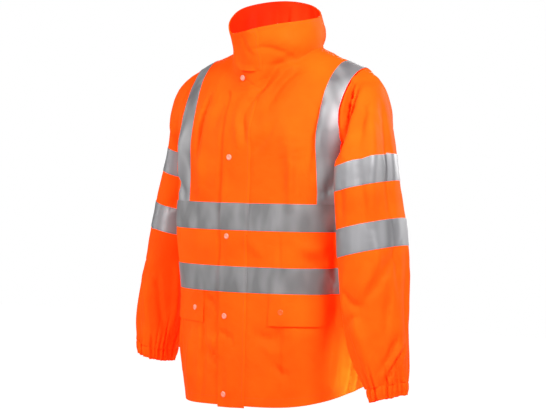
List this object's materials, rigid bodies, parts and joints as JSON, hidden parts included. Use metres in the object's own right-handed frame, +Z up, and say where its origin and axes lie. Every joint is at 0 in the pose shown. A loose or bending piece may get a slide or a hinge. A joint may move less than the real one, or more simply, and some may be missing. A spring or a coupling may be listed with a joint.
{
  "type": "hi-vis work jacket",
  "caption": "Long orange high-visibility rain jacket, worn and hollow, with stand collar, snapped storm flap, pocket flaps, elastic cuffs and silver tape.",
  "frame": {"origin": "middle of the neck opening, level with the two neck points, where the jacket rests on its wearer", "axes": "+Z up the wearer's body, -Y towards the wearer's front, +X towards the wearer's left"},
  "size_m": [0.7388, 0.3256, 0.8471],
  "materials": {
    "cloth": "fluorescent orange coated rain cloth, soft satin sheen",
    "tape": "silver-grey retro-reflective tape, fine glass-bead face",
    "snap": "pale orange moulded snap caps"
  },
  "bodies": {
    "root": {"back": "cloth", "collar": "cloth", "left_brace": "tape", "left_cuff": "cloth", "left_front": "cloth", "left_pocket_flap": "cloth", "left_pocket_snap": "snap", "left_sleeve": "cloth", "left_sleeve_lower_band": "tape", "left_sleeve_upper_band": "tape", "lower_band_back": "tape", "lower_band_left_front": "tape", "lower_band_right_front": "tape", "lower_band_storm_flap": "tape", "right_brace": "tape", "right_cuff": "cloth", "right_front": "cloth", "right_pocket_flap": "cloth", "right_pocket_snap": "snap", "right_sleeve": "cloth", "right_sleeve_lower_band": "tape", "right_sleeve_upper_band": "tape", "storm_flap": "cloth", "storm_snap_1": "snap", "storm_snap_2": "snap", "storm_snap_3": "snap", "storm_snap_4": "snap", "storm_snap_5": "snap", "upper_band_back": "tape", "upper_band_left_front": "tape", "upper_band_right_front": "tape", "upper_band_storm_flap": "tape"}
  },
  "joints": []
}
